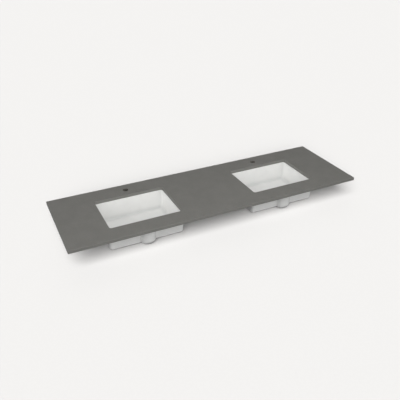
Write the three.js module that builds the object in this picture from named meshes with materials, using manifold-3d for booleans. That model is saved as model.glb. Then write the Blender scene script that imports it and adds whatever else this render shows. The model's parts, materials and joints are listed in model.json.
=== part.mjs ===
import * as THREE from "three";
import { mergeVertices } from "three/addons/utils/BufferGeometryUtils.js";
import Module from "manifold-3d";

// A stone vanity top with two undermount china basins, in millimetres with +Z up.
// The origin is the middle of the slab's underside, the plane that lies on a cabinet.
// +X runs along the length to the right and +Y points to the wall behind.

// Slab
const SLAB_LENGTH = 1854.2;
const SLAB_DEPTH = 558.8;
const SLAB_THICKNESS = 19.05;
const SLAB_CORNER_RADIUS = 2;
const EDGE_EASE = 1.5;
const BASIN_SETBACK = 469.9;
const CUTOUT_WIDTH = 431.8;
const CUTOUT_CORNER_RADIUS = 12.7;
const FRONT_RAIL = 111;
const BACK_DECK = 130.3;
const FAUCET_HOLE_RADIUS = 17.5;
const FAUCET_HOLE_GAP = 7.8;

// Silicone bead between a basin's flange and the slab
const BEAD_THICKNESS = 2;
const BEAD_WIDTH = 22;

// Basin flange, bowl and drain
const FLANGE_WIDTH = 36;
const FLANGE_THICKNESS = 12;
const FLANGE_EDGE_RADIUS = 3;
const LIP_RADIUS = 2;
const NECK_RADIUS = 8;
const BOWL_DEPTH = 119;
const BOWL_CORNER_RADIUS = 14;
const BOWL_FOOT_CORNER_RADIUS = 18;
const BOWL_DRAFT = 9;
const BOWL_FILLET_RADIUS = 16;
const WALL_THICKNESS = 10;
const OUTER_CORNER_RADIUS = 20;
const SIDE_DRAFT = 1.5;
const FRONT_DRAFT = 9;
const FOOT_FILLET_RADIUS = 10;
const FLOOR_THICKNESS = 6;
const FLOOR_FALL = 5;
const DRAIN_RADIUS = 22.5;
const DRAIN_SEAT_RADIUS = 32;
const DRAIN_SEAT_DEPTH = 3;
const BOSS_RADIUS = 40;
const BOSS_HEIGHT = 13.5;
const BOSS_CHAMFER = 1.5;

// Overflow: an inlet slot in the front wall, then a hollow channel down the wall and under the floor
const CHANNEL_HALF_WIDTH = 44;
const CHANNEL_STANDOUT = 37.5;
const CHANNEL_ROUND = 32;
const CHANNEL_WALL = 8;
const CHANNEL_FLANGE_MARGIN = 3;
const DUCT_HALF_WIDTH = 28;
const DUCT_DROP = 9;
const DUCT_WALL = 5;
const PASSAGE_SINK = 1;
const INLET_WIDTH = 40;
const INLET_HEIGHT = 10;
const INLET_DROP = 45;

// Fixing points: insert, stud, clip, washer and wing nut
const CLIP_ALONG_SHARE = 0.6;
const CLIP_STANDOFF = 12;
const CLIP_TOE_REACH = 14;
const CLIP_HEEL_REACH = 22;
const CLIP_WIDTH = 22;
const CLIP_GAUGE = 2.5;
const CLIP_BEND_RADIUS = 3.5;
const CLIP_SLOT_TRAVEL = 8;
const STUD_RADIUS = 3;
const STUD_GRIP = 10;
const STUD_TAIL = 4;
const STUD_CHAMFER = 0.8;
const INSERT_RADIUS = 4.75;
const INSERT_LENGTH = 12;
const WASHER_RADIUS = 8;
const WASHER_THICKNESS = 1.6;
const NUT_RADIUS = 6.5;
const NUT_TOP_RADIUS = 5;
const NUT_HEIGHT = 7;
const WING_REACH = 15;
const WING_DROP = 11;
const WING_TIP_RADIUS = 3.5;
const WING_THICKNESS = 2.5;

// Fit
const CLEARANCE = 0.3;
const OVERRUN = 1;

// Counts of steps in curves
const EASE_STEPS = 2;
const ARC_STEPS = 3;
const CORNER_STEPS = 5;
const SIDE_STEPS = 3;
const BACK_STEPS = 4;
const FRONT_STEPS = 2;
const CHANNEL_STEPS = 10;
const ROUND_RISE_STEPS = 2;
const FILLET_STEPS = 5;
const FLOOR_STEPS = 3;
const DUCT_STEPS = 3;
const ROUND_STEPS = 12;

// Points of a basin loop outside its overflow channel
const PLAIN_COUNT = 4 * (CORNER_STEPS + 1) + 2 * (SIDE_STEPS + FRONT_STEPS) + BACK_STEPS - 3;

const HALF_TURN = Math.PI;
const QUARTER_TURN = Math.PI / 2;

// Levels, all below the slab's underside
const FLANGE_TOP = -BEAD_THICKNESS;
const FLANGE_BOTTOM = FLANGE_TOP - FLANGE_THICKNESS;
const BOWL_FLOOR = FLANGE_TOP - BOWL_DEPTH;
const FLOOR_UNDER = BOWL_FLOOR - FLOOR_THICKNESS;
const DRAIN_RIM = BOWL_FLOOR - FLOOR_FALL;
const DRAIN_SEAT = DRAIN_RIM - DRAIN_SEAT_DEPTH;
const BOSS_TOP = FLOOR_UNDER - FLOOR_FALL;
const BOSS_FACE = BOSS_TOP - BOSS_HEIGHT;
const CLIP_UNDER = FLANGE_BOTTOM - CLIP_GAUGE;
const WASHER_UNDER = CLIP_UNDER - WASHER_THICKNESS;

// Places on the slab: a cut-out fills its depth between the front rail and the deck behind, and a tap hole
// clears the flange below the deck.
const CUTOUT_DEPTH = SLAB_DEPTH - FRONT_RAIL - BACK_DECK;
const BASIN_CENTRE_Y = (FRONT_RAIL - BACK_DECK) / 2;
const FAUCET_HOLE_Y = BASIN_CENTRE_Y + CUTOUT_DEPTH / 2 + FLANGE_WIDTH + FAUCET_HOLE_GAP + FAUCET_HOLE_RADIUS;
const SIDES = [
  { name: "left", x: BASIN_SETBACK - SLAB_LENGTH / 2 },
  { name: "right", x: SLAB_LENGTH / 2 - BASIN_SETBACK },
];

const finishes = {
  stone: new THREE.MeshStandardMaterial({ color: 0x6c6b67, roughness: 0.5, metalness: 0 }),
  china: new THREE.MeshStandardMaterial({ color: 0xf0f1ee, roughness: 0.12, metalness: 0 }),
  silicone: new THREE.MeshStandardMaterial({ color: 0xd9dad6, roughness: 0.45, metalness: 0 }),
  brass: new THREE.MeshStandardMaterial({ color: 0xb8953f, roughness: 0.35, metalness: 1 }),
  steel: new THREE.MeshStandardMaterial({ color: 0xb7bbbf, roughness: 0.35, metalness: 1 }),
};

const wasm = await Module();
wasm.setup();

// Turns a closed geometry into a solid that can be joined and cut.
function solidFrom(geometry) {
  const bare = geometry.clone();
  for (const name of ["normal", "uv"]) {
    bare.deleteAttribute(name);
  }
  const merged = mergeVertices(bare);
  return new wasm.Manifold(
    new wasm.Mesh({
      numProp: 3,
      vertProperties: new Float32Array(merged.attributes.position.array),
      triVerts: new Uint32Array(merged.index.array),
    }),
  );
}

// Turns a solid back into a geometry with flat-shaded faces.
function geometryFrom(solid) {
  const mesh = solid.getMesh();
  const geometry = new THREE.BufferGeometry();
  geometry.setAttribute("position", new THREE.BufferAttribute(new Float32Array(mesh.vertProperties), 3));
  geometry.setIndex(new THREE.BufferAttribute(new Uint32Array(mesh.triVerts), 1));
  geometry.computeVertexNormals();
  return geometry;
}

function cut(geometry, tools) {
  let solid = solidFrom(geometry);
  for (const tool of tools) {
    solid = solid.subtract(solidFrom(tool));
  }
  return geometryFrom(solid);
}

function join(geometries) {
  let solid = solidFrom(geometries[0]);
  for (const geometry of geometries.slice(1)) {
    solid = solid.add(solidFrom(geometry));
  }
  return geometryFrom(solid);
}

function namedMesh(name, geometry, material) {
  const mesh = new THREE.Mesh(geometry, material);
  mesh.name = name;
  return mesh;
}

// An upright round bar between two levels.
function bar(radius, low, high) {
  const geometry = new THREE.CylinderGeometry(radius, radius, high - low, ROUND_STEPS);
  geometry.rotateX(QUARTER_TURN);
  geometry.translate(0, 0, (high + low) / 2);
  return geometry;
}

// A ring of square section between two radii and two levels.
function ring(innerRadius, outerRadius, low, high) {
  const profile = [
    new THREE.Vector2(innerRadius, low),
    new THREE.Vector2(outerRadius, low),
    new THREE.Vector2(outerRadius, high),
    new THREE.Vector2(innerRadius, high),
    new THREE.Vector2(innerRadius, low),
  ];
  return upright(new THREE.LatheGeometry(profile, ROUND_STEPS));
}

// A lathe turns about Y, so its result is stood up along Z.
function upright(geometry) {
  return geometry.rotateX(QUARTER_TURN);
}

// Draws a rounded rectangle into a Shape or a Path, anticlockwise. It is a circle where its half sizes
// are its corner radius.
function traceRoundedRectangle(path, centreX, centreY, halfWidth, halfDepth, radius) {
  const corners = [
    [1, -1],
    [1, 1],
    [-1, 1],
    [-1, -1],
  ];
  corners.forEach(([sideX, sideY], index) => {
    const x = centreX + sideX * (halfWidth - radius);
    const y = centreY + sideY * (halfDepth - radius);
    const start = -QUARTER_TURN + index * QUARTER_TURN;
    path.absarc(x, y, radius, start, start + QUARTER_TURN, false);
  });
  path.closePath();
  return path;
}

// A slot with round ends, its straight run along the shape's own X.
function slotShape(halfLength, radius) {
  const shape = new THREE.Shape();
  shape.absarc(halfLength, 0, radius, -QUARTER_TURN, QUARTER_TURN, false);
  shape.absarc(-halfLength, 0, radius, QUARTER_TURN, QUARTER_TURN + HALF_TURN, false);
  shape.closePath();
  return shape;
}

// Where the studs stand about one basin's centre, and which way each clip faces.
function fixingPlaces() {
  const along = CLIP_ALONG_SHARE * (CUTOUT_WIDTH / 2 + FLANGE_WIDTH);
  const across = CUTOUT_DEPTH / 2 + FLANGE_WIDTH + CLIP_STANDOFF;
  return [
    { x: -along, y: -across, turn: 0 },
    { x: along, y: -across, turn: 0 },
    { x: along, y: across, turn: HALF_TURN },
    { x: -along, y: across, turn: HALF_TURN },
  ];
}

function slabGeometry() {
  const outline = traceRoundedRectangle(
    new THREE.Shape(), 0, 0, SLAB_LENGTH / 2, SLAB_DEPTH / 2, SLAB_CORNER_RADIUS,
  );
  for (const side of SIDES) {
    outline.holes.push(
      traceRoundedRectangle(
        new THREE.Path(), side.x, BASIN_CENTRE_Y, CUTOUT_WIDTH / 2, CUTOUT_DEPTH / 2, CUTOUT_CORNER_RADIUS,
      ),
    );
    const radius = FAUCET_HOLE_RADIUS;
    const hole = traceRoundedRectangle(new THREE.Path(), side.x, FAUCET_HOLE_Y, radius, radius, radius);
    outline.holes.push(hole);
  }
  const plate = new THREE.ExtrudeGeometry(outline, {
    depth: SLAB_THICKNESS - 2 * EDGE_EASE,
    bevelThickness: EDGE_EASE,
    bevelSize: EDGE_EASE,
    bevelOffset: -EDGE_EASE,
    bevelSegments: EASE_STEPS,
    curveSegments: ARC_STEPS,
  });
  plate.translate(0, 0, EDGE_EASE);
  const holes = [];
  for (const side of SIDES) {
    for (const place of fixingPlaces()) {
      const hole = bar(INSERT_RADIUS + CLEARANCE, -OVERRUN, INSERT_LENGTH + CLEARANCE);
      hole.translate(side.x + place.x, BASIN_CENTRE_Y + place.y, 0);
      holes.push(hole);
    }
  }
  return cut(plate, holes);
}

// The bead is a flat frame on the flange, set back from the cut-out by the flange's rounded lip.
function beadGeometry() {
  const outerOffset = LIP_RADIUS + BEAD_WIDTH;
  const frame = traceRoundedRectangle(
    new THREE.Shape(), 0, 0,
    CUTOUT_WIDTH / 2 + outerOffset, CUTOUT_DEPTH / 2 + outerOffset, BOWL_CORNER_RADIUS + outerOffset,
  );
  frame.holes.push(
    traceRoundedRectangle(
      new THREE.Path(), 0, 0,
      CUTOUT_WIDTH / 2 + LIP_RADIUS, CUTOUT_DEPTH / 2 + LIP_RADIUS, BOWL_CORNER_RADIUS + LIP_RADIUS,
    ),
  );
  const bead = new THREE.ExtrudeGeometry(frame, {
    depth: BEAD_THICKNESS, bevelEnabled: false, curveSegments: ARC_STEPS,
  });
  return bead.translate(0, 0, FLANGE_TOP);
}

// Points strictly between two ends.
function between(start, end, steps) {
  const points = [];
  for (let step = 1; step < steps; step += 1) {
    points.push(start.clone().lerp(end, step / steps));
  }
  return points;
}

// Across the overflow channel, each point is an angle on a half ellipse, from its left foot to its right.
function channelAngles() {
  const angles = [];
  for (let step = 1; step < CHANNEL_STEPS; step += 1) {
    angles.push(HALF_TURN - HALF_TURN * step / CHANNEL_STEPS);
  }
  return angles;
}

// One loop round the basin, anticlockwise from the channel's right foot in the middle of the front.
function rectangleLoop(halfWidth, halfDepth, radius, channelHalfWidth) {
  const corners = [
    [1, -1],
    [1, 1],
    [-1, 1],
    [-1, -1],
  ].map(([sideX, sideY], index) => {
    const centre = new THREE.Vector2(sideX * (halfWidth - radius), sideY * (halfDepth - radius));
    const points = [];
    for (let step = 0; step <= CORNER_STEPS; step += 1) {
      const angle = (index - 1 + step / CORNER_STEPS) * QUARTER_TURN;
      points.push(new THREE.Vector2(Math.cos(angle), Math.sin(angle)).multiplyScalar(radius).add(centre));
    }
    return points;
  });
  const rightFoot = new THREE.Vector2(channelHalfWidth, -halfDepth);
  const leftFoot = new THREE.Vector2(-channelHalfWidth, -halfDepth);
  const loop = [rightFoot, ...between(rightFoot, corners[0][0], FRONT_STEPS), ...corners[0]];
  [SIDE_STEPS, BACK_STEPS, SIDE_STEPS].forEach((steps, index) => {
    loop.push(...between(corners[index].at(-1), corners[index + 1][0], steps), ...corners[index + 1]);
  });
  loop.push(...between(corners[3].at(-1), leftFoot, FRONT_STEPS), leftFoot);
  for (const angle of channelAngles()) {
    loop.push(new THREE.Vector2(channelHalfWidth * Math.cos(angle), -halfDepth));
  }
  return loop;
}

// The same count of points on a circle, with the channel's feet where the duct meets the drain boss.
function circleLoop(radius) {
  const footShare = DUCT_HALF_WIDTH / BOSS_RADIUS;
  const footAngle = Math.asin(footShare);
  const angles = [];
  for (let step = 0; step < PLAIN_COUNT; step += 1) {
    angles.push(-QUARTER_TURN + footAngle + 2 * (HALF_TURN - footAngle) * step / (PLAIN_COUNT - 1));
  }
  for (const angle of channelAngles()) {
    angles.push(-QUARTER_TURN + Math.asin(footShare * Math.cos(angle)));
  }
  return angles.map((angle) => new THREE.Vector2(radius * Math.cos(angle), radius * Math.sin(angle)));
}

// How far each point of a loop is lifted with the channel: nothing outside it, all of it at its crown.
function liftShares() {
  return [...new Array(PLAIN_COUNT).fill(0), ...channelAngles().map((angle) => Math.sin(angle))];
}

// A ring of the basin: a loop offset from the bowl's mouth, at one level, with its channel lifted. It can be
// drawn in at its front and back alone.
function basinRing(offset, cornerRadius, level, options = {}) {
  const { roundShare = 0, radius = 0, liftOut = 0, liftDown = 0, drawnIn = 0 } = options;
  const { channelHalfWidth = CHANNEL_HALF_WIDTH } = options;
  const rectangle = rectangleLoop(
    CUTOUT_WIDTH / 2 + offset, CUTOUT_DEPTH / 2 + offset - drawnIn, cornerRadius, channelHalfWidth,
  );
  const circle = circleLoop(radius);
  const shares = liftShares();
  return rectangle.map((point, index) => {
    const place = point.clone().lerp(circle[index], roundShare);
    return new THREE.Vector3(place.x, place.y - liftOut * shares[index], level - liftDown * shares[index]);
  });
}

// A ring that is a true circle about the drain.
function drainRing(radius, level, liftDown = 0) {
  const loop = circleLoop(radius);
  const shares = liftShares();
  return loop.map((point, index) => new THREE.Vector3(point.x, point.y, level - liftDown * shares[index]));
}

// The channel's front comes down the wall, rounds under and meets the duct's level underside. Seen from the
// middle of the foot's fillet, this is how far that line lies beyond the fillet at each turn.
function standoutAt(turn) {
  const out = CHANNEL_STANDOUT + FOOT_FILLET_RADIUS - CHANNEL_ROUND;
  const down = DUCT_DROP + FOOT_FILLET_RADIUS - CHANNEL_ROUND;
  const along = out * Math.cos(turn) + down * Math.sin(turn);
  const roundReach = along + Math.sqrt(CHANNEL_ROUND ** 2 + along ** 2 - out ** 2 - down ** 2);
  const onRound = roundReach * Math.cos(turn) >= out;
  const reach = onRound ? roundReach : (DUCT_DROP + FOOT_FILLET_RADIUS) / Math.sin(turn);
  return reach - FOOT_FILLET_RADIUS;
}

// How the channel changes round the basin's foot: turn 0 is on the wall, a quarter turn is on the floor.
function channelAt(turn) {
  const floorShare = (1 - Math.cos(2 * turn)) / 2;
  return {
    halfWidth: THREE.MathUtils.lerp(CHANNEL_HALF_WIDTH, DUCT_HALF_WIDTH, floorShare),
    standout: standoutAt(turn),
    wall: THREE.MathUtils.lerp(CHANNEL_WALL, DUCT_WALL, floorShare),
  };
}

// Joins rings in order into one surface. A closed one meets its first ring, an open one is capped.
function skin(rings, closed) {
  const size = rings[0].length;
  const positions = rings.flat().flatMap((point) => [point.x, point.y, point.z]);
  const index = [];
  const spans = closed ? rings.length : rings.length - 1;
  for (let span = 0; span < spans; span += 1) {
    const near = span * size;
    const far = ((span + 1) % rings.length) * size;
    for (let point = 0; point < size; point += 1) {
      const next = (point + 1) % size;
      index.push(near + point, near + next, far + next);
      index.push(near + point, far + next, far + point);
    }
  }
  if (!closed) {
    const last = (rings.length - 1) * size;
    for (let point = 1; point < size - 1; point += 1) {
      index.push(0, point + 1, point);
      index.push(last, last + point, last + point + 1);
    }
  }
  const geometry = new THREE.BufferGeometry();
  geometry.setAttribute("position", new THREE.BufferAttribute(new Float32Array(positions), 3));
  geometry.setIndex(index);
  return geometry;
}

// The corner radius of a fillet's ring shrinks with its inset and never quite closes.
function filletCorner(cornerRadius, inset, filletRadius) {
  const keptShare = 0.1;
  return cornerRadius * (1 - (1 - keptShare) * inset / filletRadius);
}

// Bowl side of the profile, from the flange's lip down to the floor and in to the drain's mouth.
function bowlRings() {
  const rings = [];
  for (let step = 0; step <= EASE_STEPS; step += 1) {
    const angle = QUARTER_TURN * step / EASE_STEPS;
    const offset = LIP_RADIUS * (1 - Math.sin(angle));
    const level = FLANGE_TOP - LIP_RADIUS * (1 - Math.cos(angle));
    rings.push(basinRing(offset, BOWL_CORNER_RADIUS + offset, level));
  }
  for (let step = 0; step <= FILLET_STEPS; step += 1) {
    const angle = QUARTER_TURN * step / FILLET_STEPS;
    const inset = BOWL_FILLET_RADIUS * (1 - Math.cos(angle));
    const corner = filletCorner(BOWL_FOOT_CORNER_RADIUS, inset, BOWL_FILLET_RADIUS);
    const level = BOWL_FLOOR + BOWL_FILLET_RADIUS * (1 - Math.sin(angle));
    rings.push(basinRing(-BOWL_DRAFT - inset, corner, level));
  }
  const floorEdge = -BOWL_DRAFT - BOWL_FILLET_RADIUS;
  const floorCorner = filletCorner(BOWL_FOOT_CORNER_RADIUS, BOWL_FILLET_RADIUS, BOWL_FILLET_RADIUS);
  for (let step = 1; step < FLOOR_STEPS; step += 1) {
    const roundShare = step / FLOOR_STEPS;
    const level = BOWL_FLOOR - FLOOR_FALL * roundShare;
    rings.push(basinRing(floorEdge, floorCorner, level, { roundShare, radius: DRAIN_SEAT_RADIUS }));
  }
  rings.push(drainRing(DRAIN_SEAT_RADIUS, DRAIN_RIM));
  rings.push(drainRing(DRAIN_SEAT_RADIUS, DRAIN_SEAT));
  rings.push(drainRing(DRAIN_RADIUS, DRAIN_SEAT));
  return rings;
}

// Outer side of the profile, from the drain's lower mouth out to the foot, up the wall and over the flange.
function shellRings() {
  const rings = [
    drainRing(DRAIN_RADIUS, BOSS_FACE),
    drainRing(BOSS_RADIUS - BOSS_CHAMFER, BOSS_FACE),
    drainRing(BOSS_RADIUS, BOSS_FACE + BOSS_CHAMFER),
    drainRing(BOSS_RADIUS, BOSS_TOP, DUCT_DROP),
  ];
  const wallFoot = WALL_THICKNESS - SIDE_DRAFT;
  const frontLean = FRONT_DRAFT - SIDE_DRAFT;
  const innermost = filletCorner(OUTER_CORNER_RADIUS, FOOT_FILLET_RADIUS, FOOT_FILLET_RADIUS);
  for (let step = 1; step < DUCT_STEPS; step += 1) {
    const share = step / DUCT_STEPS;
    rings.push(
      basinRing(wallFoot - FOOT_FILLET_RADIUS, innermost, BOSS_TOP + FLOOR_FALL * share, {
        roundShare: 1 - share,
        radius: BOSS_RADIUS,
        channelHalfWidth: DUCT_HALF_WIDTH,
        liftDown: DUCT_DROP,
        drawnIn: frontLean,
      }),
    );
  }
  for (let step = 0; step <= FILLET_STEPS; step += 1) {
    const turn = QUARTER_TURN * (1 - step / FILLET_STEPS);
    const inset = FOOT_FILLET_RADIUS * (1 - Math.cos(turn));
    const channel = channelAt(turn);
    rings.push(
      basinRing(
        wallFoot - inset,
        filletCorner(OUTER_CORNER_RADIUS, inset, FOOT_FILLET_RADIUS),
        FLOOR_UNDER + FOOT_FILLET_RADIUS * (1 - Math.sin(turn)),
        {
          channelHalfWidth: channel.halfWidth,
          liftOut: channel.standout * Math.cos(turn),
          liftDown: channel.standout * Math.sin(turn),
          drawnIn: frontLean,
        },
      ),
    );
  }
  const wallLow = FLOOR_UNDER + FOOT_FILLET_RADIUS;
  const wallHeight = FLANGE_BOTTOM - NECK_RADIUS - wallLow;
  const roundRise = CHANNEL_ROUND - DUCT_DROP - FOOT_FILLET_RADIUS;
  for (let step = 1; step <= ROUND_RISE_STEPS; step += 1) {
    const rise = roundRise * step / ROUND_RISE_STEPS;
    const share = rise / wallHeight;
    const out = Math.sqrt(CHANNEL_ROUND ** 2 - (roundRise - rise) ** 2);
    rings.push(
      basinRing(wallFoot + SIDE_DRAFT * share, OUTER_CORNER_RADIUS, wallLow + rise, {
        liftOut: CHANNEL_STANDOUT - CHANNEL_ROUND + out,
        drawnIn: frontLean * (1 - share),
      }),
    );
  }
  for (let step = 0; step <= EASE_STEPS; step += 1) {
    const angle = QUARTER_TURN * step / EASE_STEPS;
    const flare = NECK_RADIUS * (1 - Math.cos(angle));
    const corner = OUTER_CORNER_RADIUS + flare;
    const level = FLANGE_BOTTOM - NECK_RADIUS * (1 - Math.sin(angle));
    rings.push(basinRing(WALL_THICKNESS + flare, corner, level, { liftOut: CHANNEL_STANDOUT - flare }));
  }
  const tab = Math.max(0, WALL_THICKNESS + CHANNEL_STANDOUT + CHANNEL_FLANGE_MARGIN - FLANGE_WIDTH);
  const flangeCorners = [
    [FLANGE_EDGE_RADIUS, FLANGE_BOTTOM],
    [0, FLANGE_BOTTOM + FLANGE_EDGE_RADIUS],
    [0, FLANGE_TOP - FLANGE_EDGE_RADIUS],
    [FLANGE_EDGE_RADIUS, FLANGE_TOP],
  ];
  for (const [inset, level] of flangeCorners) {
    const offset = FLANGE_WIDTH - inset;
    rings.push(basinRing(offset, BOWL_CORNER_RADIUS + offset, level, { liftOut: tab }));
  }
  return rings;
}

// One ring of the overflow passage: a half ellipse on the outer wall's middle line, closed by its chord.
function passageRing(y, level, turn) {
  const channel = channelAt(turn);
  const halfWidth = channel.halfWidth - CHANNEL_WALL;
  const height = PASSAGE_SINK + channel.standout - channel.wall;
  const outY = -Math.cos(turn);
  const outZ = -Math.sin(turn);
  const points = [];
  for (let step = 0; step <= CHANNEL_STEPS; step += 1) {
    const angle = HALF_TURN * step / CHANNEL_STEPS;
    const reach = height * Math.sin(angle) - PASSAGE_SINK;
    points.push(new THREE.Vector3(halfWidth * Math.cos(angle), y + outY * reach, level + outZ * reach));
  }
  return points;
}

// The passage runs down inside the channel, round the foot and under the floor into the drain's bore.
function passageGeometry() {
  const wallY = -(CUTOUT_DEPTH / 2 + WALL_THICKNESS);
  const footY = wallY + FRONT_DRAFT;
  const rings = [
    passageRing(wallY, FLANGE_BOTTOM - CHANNEL_WALL, 0),
  ];
  const centreY = footY + FOOT_FILLET_RADIUS;
  const centreZ = FLOOR_UNDER + FOOT_FILLET_RADIUS;
  for (let step = 0; step <= FILLET_STEPS; step += 1) {
    const turn = QUARTER_TURN * step / FILLET_STEPS;
    rings.push(
      passageRing(
        centreY - FOOT_FILLET_RADIUS * Math.cos(turn), centreZ - FOOT_FILLET_RADIUS * Math.sin(turn), turn,
      ),
    );
  }
  rings.push(passageRing(-BOSS_RADIUS, BOSS_TOP, QUARTER_TURN));
  rings.push(passageRing(0, BOSS_TOP, QUARTER_TURN));
  return skin(rings, false);
}

// The inlet is a slot through the front wall, high enough to keep the bowl from brimming over.
function inletGeometry() {
  const run = BOWL_DRAFT + WALL_THICKNESS + CHANNEL_WALL;
  const slot = new THREE.ExtrudeGeometry(slotShape((INLET_WIDTH - INLET_HEIGHT) / 2, INLET_HEIGHT / 2), {
    depth: run, bevelEnabled: false, curveSegments: ARC_STEPS,
  });
  slot.rotateX(QUARTER_TURN);
  return slot.translate(0, BOWL_DRAFT - CUTOUT_DEPTH / 2, FLANGE_TOP - INLET_DROP);
}

function basinGeometry() {
  const shell = skin([...bowlRings(), ...shellRings()], true);
  return cut(shell, [passageGeometry(), inletGeometry()]);
}

// Each piece of a fixing point is drawn about its stud, with the basin towards +Y.
function insertGeometry() {
  return ring(STUD_RADIUS + CLEARANCE, INSERT_RADIUS, 0, INSERT_LENGTH);
}

function studGeometry() {
  const low = WASHER_UNDER - NUT_HEIGHT - STUD_TAIL;
  const profile = [
    new THREE.Vector2(0, low),
    new THREE.Vector2(STUD_RADIUS - STUD_CHAMFER, low),
    new THREE.Vector2(STUD_RADIUS, low + STUD_CHAMFER),
    new THREE.Vector2(STUD_RADIUS, STUD_GRIP - STUD_CHAMFER),
    new THREE.Vector2(STUD_RADIUS - STUD_CHAMFER, STUD_GRIP),
    new THREE.Vector2(0, STUD_GRIP),
  ];
  return upright(new THREE.LatheGeometry(profile, ROUND_STEPS));
}

// A strip bent into a heel that stands on the slab and a plate whose toe presses the flange from below.
function clipGeometry() {
  const heel = -CLIP_HEEL_REACH;
  const toe = CLIP_STANDOFF + CLIP_TOE_REACH;
  const innerBend = CLIP_BEND_RADIUS - CLIP_GAUGE;
  const bendX = heel + CLIP_BEND_RADIUS;
  const bendZ = CLIP_UNDER + CLIP_BEND_RADIUS;
  const side = new THREE.Shape();
  side.moveTo(heel, 0);
  side.lineTo(heel, bendZ);
  side.absarc(bendX, bendZ, CLIP_BEND_RADIUS, HALF_TURN, HALF_TURN + QUARTER_TURN, false);
  side.lineTo(toe, CLIP_UNDER);
  side.lineTo(toe, FLANGE_BOTTOM);
  side.absarc(bendX, bendZ, innerBend, HALF_TURN + QUARTER_TURN, HALF_TURN, true);
  side.lineTo(heel + CLIP_GAUGE, 0);
  side.closePath();
  const strip = new THREE.ExtrudeGeometry(side, {
    depth: CLIP_WIDTH, bevelEnabled: false, curveSegments: EASE_STEPS,
  });
  strip.translate(0, 0, -CLIP_WIDTH / 2);
  strip.rotateX(QUARTER_TURN);
  strip.rotateZ(QUARTER_TURN);
  const slot = new THREE.ExtrudeGeometry(slotShape(CLIP_SLOT_TRAVEL / 2, STUD_RADIUS + CLEARANCE), {
    depth: CLIP_GAUGE + 2 * OVERRUN, bevelEnabled: false, curveSegments: ARC_STEPS,
  });
  slot.rotateZ(QUARTER_TURN);
  slot.translate(0, 0, CLIP_UNDER - OVERRUN);
  return cut(strip, [slot]);
}

function washerGeometry() {
  return ring(STUD_RADIUS + CLEARANCE, WASHER_RADIUS, WASHER_UNDER, CLIP_UNDER);
}

// A tapered nut hangs under the washer with two round-tipped ears that slope down and out.
function wingNutGeometry() {
  const body = new THREE.CylinderGeometry(NUT_TOP_RADIUS, NUT_RADIUS, NUT_HEIGHT, ROUND_STEPS);
  body.rotateX(-QUARTER_TURN);
  body.translate(0, 0, WASHER_UNDER - NUT_HEIGHT / 2);
  const tipX = WING_REACH - WING_TIP_RADIUS;
  const tipZ = WASHER_UNDER - WING_DROP + WING_TIP_RADIUS;
  const rootX = (STUD_RADIUS + NUT_TOP_RADIUS) / 2;
  const pieces = [body];
  for (const side of [0, HALF_TURN]) {
    const ear = new THREE.Shape();
    ear.moveTo(rootX, WASHER_UNDER - WING_TIP_RADIUS / 2);
    ear.lineTo(rootX, WASHER_UNDER - NUT_HEIGHT + WING_TIP_RADIUS / 2);
    ear.absarc(tipX, tipZ, WING_TIP_RADIUS, -QUARTER_TURN, QUARTER_TURN / 2, false);
    ear.closePath();
    const plate = new THREE.ExtrudeGeometry(ear, {
      depth: WING_THICKNESS, bevelEnabled: false, curveSegments: ARC_STEPS,
    });
    plate.translate(0, 0, -WING_THICKNESS / 2);
    plate.rotateX(QUARTER_TURN);
    plate.rotateZ(side);
    pieces.push(plate);
  }
  const nutUnder = WASHER_UNDER - NUT_HEIGHT;
  const bore = bar(STUD_RADIUS + CLEARANCE, nutUnder - OVERRUN, WASHER_UNDER + OVERRUN);
  return cut(join(pieces), [bore]);
}

const group = new THREE.Group();
group.add(namedMesh("stone_slab", slabGeometry(), finishes.stone));

const shapes = {
  basin: basinGeometry(),
  bead: beadGeometry(),
  insert: insertGeometry(),
  stud: studGeometry(),
  clip: clipGeometry(),
  washer: washerGeometry(),
  wingNut: wingNutGeometry(),
};

for (const side of SIDES) {
  const assembly = new THREE.Group();
  assembly.position.set(side.x, BASIN_CENTRE_Y, 0);
  assembly.add(namedMesh(`${side.name}_basin`, shapes.basin, finishes.china));
  assembly.add(namedMesh(`${side.name}_silicone_bead`, shapes.bead, finishes.silicone));
  fixingPlaces().forEach((place, index) => {
    const fixing = new THREE.Group();
    fixing.position.set(place.x, place.y, 0);
    fixing.rotation.z = place.turn;
    const label = `${side.name}_${index + 1}`;
    fixing.add(namedMesh(`threaded_insert_${label}`, shapes.insert, finishes.brass));
    fixing.add(namedMesh(`stud_${label}`, shapes.stud, finishes.steel));
    fixing.add(namedMesh(`clip_${label}`, shapes.clip, finishes.steel));
    fixing.add(namedMesh(`washer_${label}`, shapes.washer, finishes.steel));
    fixing.add(namedMesh(`wing_nut_${label}`, shapes.wingNut, finishes.steel));
    assembly.add(fixing);
  });
  group.add(assembly);
}

export default group;
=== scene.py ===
import json
import math

import bpy
import numpy as np
from mathutils import Matrix, Vector
from mathutils.geometry import tessellate_polygon


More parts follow.
